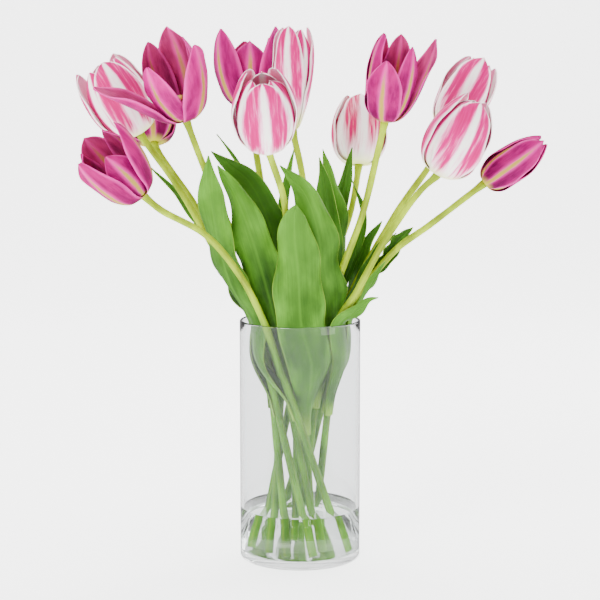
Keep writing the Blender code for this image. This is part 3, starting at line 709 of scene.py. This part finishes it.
def clear(name, colour, ior, level, waves, depth):
    """Clear glass or water, which lets the lamps' light straight through to what it holds."""
    shader = Shader(name)
    place = shader.add("ShaderNodeTexCoord", {}).outputs["Object"]
    ripples = shader.noise(place, *waves, detail=2.0)
    shader.set(Base_Color=colour, Roughness=0.0, Transmission_Weight=1.0, IOR=ior, Specular_IOR_Level=level)
    shader.set(Normal=shader.bump(ripples, depth, 0.5))
    rays = shader.add("ShaderNodeLightPath", {}).outputs
    through = shader.calc("MAXIMUM", rays["Is Shadow Ray"], rays["Is Diffuse Ray"])
    straight = shader.add("ShaderNodeBsdfTransparent", {0: colour}).outputs[0]
    either = {0: through, 1: shader.surface.outputs[0], 2: straight}
    both = shader.add("ShaderNodeMixShader", either).outputs[0]
    shader.tree.links.new(both, shader.tree.nodes["Material Output"].inputs["Surface"])
    return shader.material


# Vase and water


def arc(centre, radius, start, end, steps=10):
    """Points round part of a circle, between these angles in degrees."""
    angles = [math.radians(start + (end - start) * k / steps) for k in range(steps + 1)]
    return [(centre[0] + radius * math.cos(a), centre[1] + radius * math.sin(a)) for a in angles]


def make_vase():
    """A cylinder with a rounded lip and heel, and a floor that dips a little in the middle."""
    inside = VASE_RADIUS - WALL
    bottom, top = WALL_SPAN
    profile = list(UNDERSIDE)
    profile += arc((VASE_RADIUS - HEEL_ROUND, HEEL_ROUND), HEEL_ROUND, -90, 0)
    profile += [(VASE_RADIUS, z) for z in np.linspace(bottom, top, WALL_RINGS)]
    profile += arc((VASE_RADIUS - LIP_ROUND, VASE_HEIGHT - LIP_ROUND), LIP_ROUND, 0, 180)
    profile += [(inside, z) for z in np.linspace(top, bottom, WALL_RINGS)]
    profile += arc((inside - FLOOR_ROUND, FLOOR + FLOOR_ROUND), FLOOR_ROUND, 0, -90)
    profile += [(radius, FLOOR + rise) for radius, rise in FLOOR_DIP]
    obj = new_piece("vase_glass", turned("vase_glass", profile), [clear("glass", **GLASS)], "vase")


def make_water():
    """Water that wets the glass, with its edge drawn up the wall."""
    radius = VASE_RADIUS - WALL + WETTING
    profile = [(0.0, FLOOR + WATER_DIP)]
    profile += arc((radius - FLOOR_ROUND, FLOOR + FLOOR_ROUND - WETTING), FLOOR_ROUND, -90, 0, 6)
    profile += [(radius - away, WATER_TOP + rise) for away, rise in WATER_EDGE]
    profile += [(radius / 2, WATER_TOP), (0.0, WATER_TOP)]
    obj = new_piece("vase_water", turned("vase_water", profile), [clear("water", **WATER)], "water")


# Stems, pistils and stamens


def make_stem(name, tulip, skin):
    """A stem with slight swellings, which flares under its flower."""
    line = stem_line(tulip)
    shares = np.linspace(0, 1, STEM_RINGS)
    centres = along(line, shares)
    rng = np.random.default_rng(int(name[-2:]))
    slow, fast = STEM_SWELLS
    swell = 1 + slow[1] * np.sin(2 * math.pi * (shares * slow[0] + rng.random()))
    swell += fast[1] * np.sin(2 * math.pi * shares * fast[0])
    radii = lerp(STEM_FOOT_RADIUS, STEM_NECK_RADIUS, shares) * swell
    radii[-len(STEM_FLARE):] *= STEM_FLARE
    rise, tip_radius = STEM_TIP
    centres = np.vstack((centres, line[-1] + rise * unit(tulip["aim"])))
    radii = np.append(radii, tip_radius)
    mesh = ring_mesh("stem", tube_rings(centres, radii, STEM_SIDES))
    obj = new_piece("tulip_stem_" + name[-2:], mesh, [skin], "stem_" + name[-2:])


def make_pistil(name, tulip, skin):
    """A three-sided ovary under a three-lobed stigma."""
    rises, radii = np.array(PISTIL).T
    centres = stem_line(tulip)[-1] + rises[:, None] * unit(tulip["aim"])
    mesh = ring_mesh("pistil", tube_rings(centres, radii, PISTIL_SIDES, *PISTIL_LOBES))
    obj = new_piece("tulip_pistil_" + name[-2:], mesh, [skin], "stem_" + name[-2:])


def make_stamens(name, tulip, skin):
    """Six stamens round the pistil: a pale filament and a long dusty anther."""
    axes, seat = flower_frame(tulip), stem_line(tulip)[-1]
    bm = bmesh.new()
    rng = np.random.default_rng(100 + int(name[-2:]))
    rises, radii = np.array(STAMEN).T
    for k in range(6):
        out = bearing(60 * k + tulip["roll"] + rng.uniform(-8, 8))
        lean = rng.uniform(0.12, 0.22)
        away = STAMEN_START + lean * rises
        centres = seat + (away[:, None] * out + rises[:, None] * UP) @ axes
        part = ring_mesh("stamen", tube_rings(centres, radii, STAMEN_SIDES, *STAMEN_LOBES))
        bm.from_mesh(part)
        bpy.data.meshes.remove(part)
    mesh = bpy.data.meshes.new("stamens")
    bm.to_mesh(mesh)
    bm.free()
    obj = new_piece("tulip_stamens_" + name[-2:], mesh, [skin])


# Petals

# Degrees by which these petals lean to one side, towards their tips
SPLAY = {("tulip_03", 1): 12.0, ("tulip_03", 3): -14.0, ("tulip_09", 1): 6.0, ("tulip_01", 3): 6.0}


def petal_profile(tulip, whorl, opening, reach):
    """The petal's middle line, as distance from the flower's axis and height along it."""
    radius = tulip["radius"] - whorl * WHORL_STEP
    length = (tulip["length"] - whorl * INNER_SHORTER) * reach
    radius *= 1 - 0.8 * whorl * (1 - reach)  # a short inner petal stands further in
    base = whorl * WHORL_STEP
    low, high = tulip["belly"]
    corners = np.array(((COLLAR_OUTER, base), (low * radius, base),
                        (high * radius, SHOULDER * length), (TIP_RADIUS * radius, length)))
    t = np.linspace(0.0, 1.0, PROFILE_STEPS + 1)[:, None]
    closed = ((1 - t) ** 3 * corners[0] + 3 * t * (1 - t) ** 2 * corners[1]
              + 3 * t ** 2 * (1 - t) * corners[2] + t ** 3 * corners[3])
    steps = np.diff(closed, axis=0)
    sizes = np.linalg.norm(steps, axis=1)
    u = np.cumsum(sizes) / sizes.sum()
    angles = np.arctan2(steps[:, 1], steps[:, 0]) - opening * OPENING_ANGLE * u ** 0.8
    opened = np.cumsum(np.column_stack((np.cos(angles), np.sin(angles))) * sizes[:, None], axis=0)
    return np.vstack((closed[:1], closed[0] + opened))


def petal_half_width(u, distance, full, pointed):
    """Half the petal's width all along it, and never so wide that petals of one ring meet."""
    rising = PETAL_BASE_WIDTH + (1 - PETAL_BASE_WIDTH) * np.sin(0.5 * math.pi * np.clip(u / 0.5, 0, 1))
    blunt, round_off = POINTED_TIP if pointed else ROUND_TIP
    falling = (1 - np.clip((u - 0.5) / 0.5, 0, 1) ** blunt) ** round_off
    shape = np.maximum(rising * falling, 0.05)
    return np.minimum(full * shape, 0.97 * math.pi / 3 * distance)


def petal_relief(rng, rows, columns):
    """How far the petal's surface stands out from its plain shape."""
    v = rows[:, None]
    s = np.linspace(-1, 1, columns + 1)[None, :]
    a, b, c, d = rng.random(4) * 2 * math.pi
    free = ease(v / 0.35)
    waves = 0.9 * abs(s) ** 3 * np.sin(2 * math.pi * 2.4 * v + a) * free
    waves += 0.7 * abs(s) ** 2 * np.sin(2 * math.pi * 1.2 * v + b) * s * free
    tip = -1.6 * s ** 2 * ease((v - 0.80) / 0.20)
    rib = 0.45 * np.exp(-(s / 0.10) ** 2) * (1 - v) * ease(v / 0.1)
    gutter = -0.35 * (np.exp(-((s - 0.5) / 0.16) ** 2) + np.exp(-((s + 0.5) / 0.16) ** 2)) * free
    dents = 0.45 * np.sin(2 * math.pi * 0.9 * v + c) * np.cos(2.2 * s + d) * free
    return waves + tip + rib + gutter + dents


def petal_grid(name, tulip, whorl, number, rng):
    """The petal's points in the flower's own frame, and the width of each row."""
    rows, columns = PETAL_ROWS, PETAL_COLUMNS
    opening = tulip["opening"][3 * whorl + number]
    reach = tulip.get("reach", (1,) * 6)[3 * whorl + number]
    profile = petal_profile(tulip, whorl, opening, reach)
    middle = along(profile, rows)
    fine = tangents(along(profile, np.linspace(0, 1, PROFILE_STEPS + 1)))
    direction = fine[np.round(rows * PROFILE_STEPS).astype(int)]
    radius = tulip["radius"] - whorl * WHORL_STEP
    full = (0.9 - 0.08 * whorl) * math.pi / 3 * radius
    half = petal_half_width(rows, middle[:, 0], full, tulip["colour"] == PLUM)
    tilt = min(opening / 0.8, 1.0)
    curl = np.minimum(middle[:, 0], 1.05 * radius) * (1 - 0.3 * max(0.0, opening - 0.6))
    turn = -90 + tulip["roll"] + 120 * number + 60 * whorl
    splay = SPLAY.get((name, 3 * whorl + number), 0.0) + rng.uniform(-2.5, 2.5)
    sway = rng.uniform(-1.6, 1.6)
    grid = []
    for u, (distance, height), (d_out, d_up), a, c in zip(rows, middle, direction, half, curl):
        out, side = bearing(turn + splay * ease(u / 0.6)), bearing(turn + 90 + splay * ease(u / 0.6))
        inward = unit(lerp(-out, -d_up * out + d_out * UP, ease(u / 0.4) * tilt))
        angle = np.linspace(-1, 1, columns + 1) * a / c
        centre = distance * out + height * UP + side * sway * u * u
        grid.append([centre + side * c * math.sin(f) + inward * c * (1 - math.cos(f)) for f in angle])
    grid = np.array(grid)
    normals = sheet_normals(grid)
    outward = np.sign((normals[len(rows) // 2, columns // 2] * out).sum())
    return grid + outward * normals * petal_relief(rng, rows, columns)[:, :, None], 2 * half


def make_petals(name, tulip, looks):
    """Three outer and three inner petals, each a sheet with its own outer and inner side."""
    axes, seat = flower_frame(tulip), stem_line(tulip)[-1]
    rng = np.random.default_rng(200 + int(name[-2:]))
    kind = plum_petal if tulip["colour"] == PLUM else striped_petal
    sides = [kind(name + "_outside", looks, False), kind(name + "_inside", looks, True)]
    for whorl, ring in enumerate(("outer", "inner")):
        for number in range(3):
            grid, across = petal_grid(name, tulip, whorl, number, rng)
            label = f"{name}_{ring}_petal_{number + 1}"
            length = 1.15 * tulip["length"]  # along the petal's curve
            mesh = grid_mesh(label, seat + grid @ axes, across, length, seed=rng.uniform(0, 40))
            face_outward(mesh, seat + axes[2] * tulip["length"] * 0.5)
            obj = new_piece(label, mesh, sides, f"{ring}_petals_{name[-2:]}")
            thicken(obj, PETAL_THICKNESS)


def face_outward(mesh, heart):
    """Turns the sheet's faces away from a point, in millimetres."""
    heart = heart * MM
    total = sum((np.array(f.center) - heart).dot(np.array(f.normal)) * f.area for f in mesh.polygons)
    if total < 0:
        mesh.flip_normals()


# Leaves


def leaf_spine(leaf):
    """The leaf's middle line, from its clasp on the stem to its tip, and the way its clasp faces."""
    tulip = TULIPS[leaf["stem"]]
    line = stem_line(tulip)
    clasp = line[np.argmin(abs(line[:, 2] - leaf["clasp"]))]
    above = line[np.argmin(abs(line[:, 2] - leaf["clasp"] - CLASP_RISE))]
    off = STEM_FOOT_RADIUS + GAP + CAD_LEAF_THICKNESS / 2 + 0.2
    points = [np.array(p, float) for p in leaf["route"]]
    if leaf["rim"]:
        start, end = np.array(tulip["rim"], float), np.array(leaf["rim"], float)
        if leaf["hugs"]:
            points.insert(0, in_bunch(*end, VASE_HEIGHT))
            hugging = in_bunch(*end, HUG_HEIGHT)
            hugging[:2] *= HUG_RADIUS / math.hypot(*hugging[:2])
            points.insert(0, hugging)
        else:
            for share, away in LEAVING:
                height = lerp(leaf["clasp"] + CLASP_RISE, VASE_HEIGHT, share)
                points.insert(0, in_bunch(*lerp(start, end, away), height))
    grain = unit(above - clasp)
    goal = points[0]
    out = unit((goal - clasp) - grain * np.dot(goal - clasp, grain))
    return smooth_curve([clasp + off * out, above + (off + 0.8) * out] + points), out


def leaf_half_width(u, full, blunt):
    """Half the leaf's width all along it."""
    foot = CLASP_HALF_ANGLE * (STEM_FOOT_RADIUS + GAP + CAD_LEAF_THICKNESS)
    rising = lerp(foot, full / 2, ease(u / WIDEST_AT))
    falling = (1 - np.clip((u - WIDEST_AT) / (1 - WIDEST_AT), 0, 1) ** blunt) ** 0.9
    return np.maximum(rising * falling, 0.4)


def leaf_faces(leaf, out, fine, heights):
    """The way the leaf's outer side faces, all along it."""
    at_tip = bearing(leaf["faces"][1])
    if not leaf["rim"]:
        return np.array([lerp(out, at_tip, ease(u)) for u in fine])
    crossing = fine[np.argmax(heights >= VASE_HEIGHT)]
    ways = []
    for u, z in zip(fine, heights):
        turn = math.degrees(cmath.phase(twist_at(z)))
        at_rim = bearing(leaf["faces"][0] + turn)
        if u < crossing:
            ways.append(lerp(out, at_rim, ease(u / crossing)))
        else:
            ways.append(lerp(at_rim, at_tip, ease((u - crossing) / (1 - crossing))))
    return np.array(ways)


def leaf_relief(rng, leaf, rows, heights, columns):
    """Waves along the edges, broad swells and a shallow keel, all growing above the rim."""
    v = rows[:, None]
    s = np.linspace(-1, 1, columns + 1)[None, :]
    free = ease((heights[:, None] - RIPPLES_FROM) / RIPPLES_GROW) * leaf["width"] / WIDE_LEAF
    a, b, c, d, e = rng.random(5) * 2 * math.pi
    left, right = np.sin(2 * math.pi * 3.6 * v + a), np.sin(2 * math.pi * 4.4 * v + b)
    waves = 4.2 * abs(s) ** 2.2 * np.where(s < 0, left, right)
    swells = 2.8 * np.sin(2 * math.pi * 1.7 * v + c) * np.cos(2.4 * s + d)
    swells += 0.8 * np.sin(2 * math.pi * 5.2 * v + e) * s
    keel = 0.7 * np.exp(-(s / 0.14) ** 2) * ease(v / 0.2)
    return (waves + swells) * free * ease((1.03 - v) / 0.2) + keel


def leaf_grid(leaf, rng):
    """The leaf's points, the width of each row, and its length."""
    curve, outer = leaf_spine(leaf)
    fine = np.linspace(0, 1, LEAF_STEPS + 1)
    middle = along(curve, fine)
    direction = tangents(middle)
    faces = leaf_faces(leaf, outer, fine, middle[:, 2])
    half = leaf_half_width(fine, leaf["width"], leaf["blunt"])
    bend = np.interp(fine, *LEAF_BEND)
    wanted = set(np.round(LEAF_ROWS * LEAF_STEPS).astype(int))
    grid, heights, across = [], [], []
    for k, forward in enumerate(direction):
        kept = unit(outer - forward * outer.dot(forward))
        found = faces[k] - forward * faces[k].dot(forward)
        if found.dot(kept) < 0:
            found = -found
        outer = unit(lerp(kept, found, LEAF_TURNING))
        if k in wanted:
            side = np.cross(forward, outer)
            radius = half[k] / bend[k]
            angle = np.linspace(-bend[k], bend[k], LEAF_COLUMNS + 1)
            grid.append([middle[k] + side * radius * math.sin(f) - outer * radius * (1 - math.cos(f))
                         for f in angle])
            heights.append(middle[k][2])
            across.append(2 * half[k])
    grid = np.array(grid)
    relief = leaf_relief(rng, leaf, LEAF_ROWS, np.array(heights), LEAF_COLUMNS)
    length = np.linalg.norm(np.diff(curve, axis=0), axis=1).sum()
    return grid + sheet_normals(grid) * relief[:, :, None], across, length


def make_leaf(name, leaf, sides):
    """A rippled sheet with an outer and an inner side."""
    rng = np.random.default_rng(300 + int(name[-2:]))
    grid, across, length = leaf_grid(leaf, rng)
    mesh = grid_mesh(name, grid, across, length, seed=rng.uniform(0, 40))
    obj = new_piece("tulip_" + name, mesh, sides, name)
    thicken(obj, LEAF_THICKNESS)


# The stage


def make_stage():
    """A pale, softly lit floor that turns up into the backdrop, and is dim where the glass mirrors it."""
    bend = [(math.sin(a), 1 - math.cos(a)) for a in np.linspace(0.1, math.pi / 2, 14)]
    profile = [(FLOOR_FRONT, 0.0), (FLOOR_BACK, 0.0)]
    profile += [(FLOOR_BACK + BACKDROP_BEND * y, BACKDROP_BEND * z) for y, z in bend]
    profile += [(FLOOR_BACK + BACKDROP_BEND, BACKDROP_TOP)]
    bm = bmesh.new()
    rows = [[bm.verts.new((x, y, z)) for x in (-STAGE_HALF_WIDTH, STAGE_HALF_WIDTH)] for y, z in profile]
    for low, high in zip(rows, rows[1:]):
        bm.faces.new((low[0], low[1], high[1], high[0]))
    mesh = bpy.data.meshes.new("backdrop")
    bm.to_mesh(mesh)
    bm.free()
    mesh.shade_smooth()
    shader = Shader("backdrop")
    rays = shader.add("ShaderNodeLightPath", {}).outputs
    through = shader.times(rays["Is Transmission Ray"], 0.5)
    mirrored = shader.minus(rays["Is Glossy Ray"], through)
    paint = shader.mix(mirrored, (0.93, 0.93, 0.93, 1.0), (0.12, 0.12, 0.12, 1.0))
    shader.set(Base_Color=paint, Roughness=0.9, Specular_IOR_Level=0.1)
    glow = shader.minus(STAGE_GLOW, shader.times(mirrored, GLOW_LOST_IN_MIRRORS))
    shader.set(Emission_Color=(1.0, 1.0, 1.0, 1.0), Emission_Strength=glow)
    mesh.materials.append(shader.material)
    obj = bpy.data.objects.new("backdrop", mesh)
    bpy.context.scene.collection.objects.link(obj)


def make_lamp(name, place, target, size, power):
    """A soft rectangular lamp, size metres wide and tall."""
    lamp = bpy.data.lights.new(name, "AREA")
    lamp.shape = "RECTANGLE"
    lamp.size, lamp.size_y = size
    lamp.energy = power
    obj = bpy.data.objects.new(name, lamp)
    obj.location = place
    obj.rotation_euler = (Vector(target) - Vector(place)).to_track_quat("-Z", "Y").to_euler()
    bpy.context.scene.collection.objects.link(obj)


def make_world():
    """Dim white surroundings, which look as bright as the backdrop where they are seen past it."""
    world = bpy.data.worlds.new("studio")
    bpy.context.scene.world = world
    world.use_nodes = True
    tree = world.node_tree
    surroundings = tree.nodes["Background"]
    surroundings.inputs["Color"].default_value = (1.0, 1.0, 1.0, 1.0)
    surroundings.inputs["Strength"].default_value = WORLD_STRENGTH
    seen = tree.nodes.new("ShaderNodeBackground")
    seen.inputs["Color"].default_value = (1.0, 1.0, 1.0, 1.0)
    seen.inputs["Strength"].default_value = WORLD_STRENGTH_SEEN
    either = tree.nodes.new("ShaderNodeMixShader")
    rays = tree.nodes.new("ShaderNodeLightPath")
    direct = tree.nodes.new("ShaderNodeMath")
    direct.operation = "MAXIMUM"
    tree.links.new(rays.outputs["Is Camera Ray"], direct.inputs[0])
    tree.links.new(rays.outputs["Is Transmission Ray"], direct.inputs[1])
    tree.links.new(direct.outputs[0], either.inputs[0])
    tree.links.new(surroundings.outputs[0], either.inputs[1])
    tree.links.new(seen.outputs[0], either.inputs[2])
    tree.links.new(either.outputs[0], tree.nodes["World Output"].inputs["Surface"])


def make_camera():
    """In front of the bunch, at the height of the flowers, looking slightly down."""
    camera = bpy.data.cameras.new("camera")
    camera.sensor_width = CAMERA_SENSOR
    camera.lens = CAMERA_LENS
    obj = bpy.data.objects.new("camera", camera)
    obj.location = CAMERA_PLACE
    obj.rotation_euler = (math.radians(CAMERA_TILT), 0.0, 0.0)
    bpy.context.scene.collection.objects.link(obj)
    bpy.context.scene.camera = obj


def main():
    make_camera()
    make_stage()
    for name, lamp in LAMPS.items():
        make_lamp(name, **lamp)
    make_world()
    make_vase()
    make_water()
    skin = stem_green("stem_skin")
    pistil = pistil_green()
    anthers = anther_brown()
    for name, tulip in TULIPS.items():
        make_stem(name, tulip, skin)
        make_pistil(name, tulip, pistil)
        make_stamens(name, tulip, anthers)
        make_petals(name, tulip, LOOKS[name])
    leaf_sides = [leaf_green("leaf_outside", *LEAF_OUTSIDE), leaf_green("leaf_inside", *LEAF_INSIDE)]
    for name, leaf in LEAVES.items():
        make_leaf(name, leaf, leaf_sides)


main()
